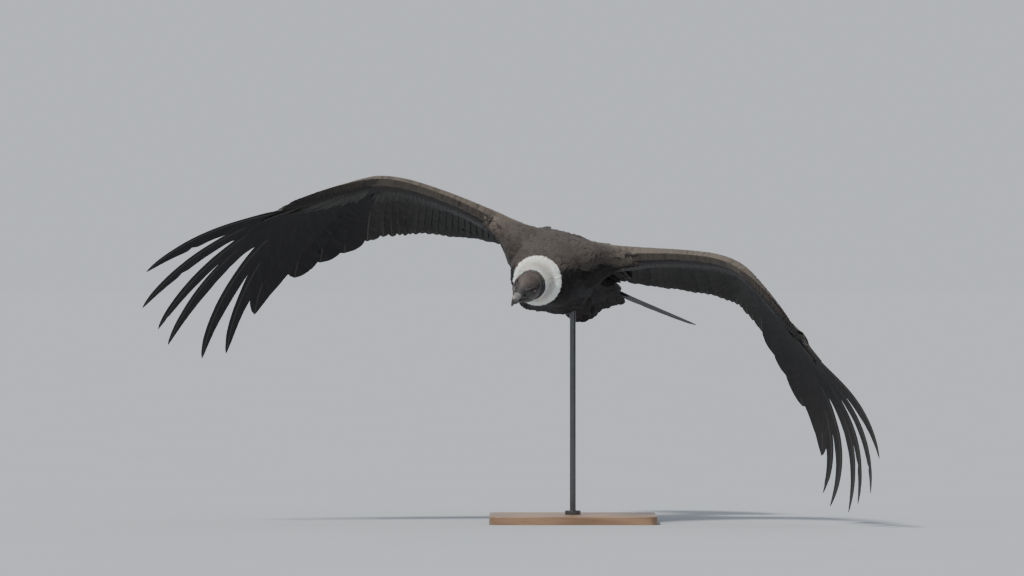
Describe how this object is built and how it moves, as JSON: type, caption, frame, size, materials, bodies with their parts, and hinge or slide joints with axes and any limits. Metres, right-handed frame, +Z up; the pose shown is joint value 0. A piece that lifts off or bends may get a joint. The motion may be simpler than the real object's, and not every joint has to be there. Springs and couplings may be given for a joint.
{
  "type": "andean condor in flight, museum model on a display stand",
  "caption": "Life-size still model of an Andean condor gliding with spread, drooping wings and a white ruff, held on a rod above a flat base.",
  "frame": {"origin": "centre of the stand base's underside, on the surface it stands on", "axes": "+Z up; the bird faces -Y, towards the picture's camera, and +X is its left side"},
  "size_m": [2.1724, 1.2919, 1.0349],
  "materials": {
    "mantle": "brown-grey body feathers, matt",
    "body_feathers": "charcoal body feathers, matt",
    "flight_feathers": "black vanes with a faint silky sheen",
    "ruff_down": "white down, matt",
    "skin": "bare wrinkled grey-brown skin",
    "horn": "satin grey horn, dark at the tip",
    "eye": "polished dark red glass eye",
    "foot_scales": "grey scaly skin",
    "claw_horn": "satin black horn",
    "stand_wood": "oiled dark wood",
    "stand_metal": "brushed steel"
  },
  "bodies": {
    "root": {"torso": "mantle", "neck": "skin", "ruff": "ruff_down", "head": "skin", "bill_upper": "horn", "bill_lower": "horn", "eye_left": "eye", "eye_right": "eye", "tail": "flight_feathers", "stand_base": "stand_wood", "stand_rod": "stand_metal", "wing_arm_left": "flight_feathers", "wing_hand_left": "flight_feathers", "thigh_left": "body_feathers", "tarsus_left": "foot_scales", "foot_left": "foot_scales", "claw_left_1": "claw_horn", "claw_left_2": "claw_horn", "claw_left_3": "claw_horn", "claw_left_4": "claw_horn", "wing_arm_right": "flight_feathers", "wing_hand_right": "flight_feathers", "thigh_right": "body_feathers", "tarsus_right": "foot_scales", "foot_right": "foot_scales", "claw_right_1": "claw_horn", "claw_right_2": "claw_horn", "claw_right_3": "claw_horn", "claw_right_4": "claw_horn"}
  },
  "joints": []
}
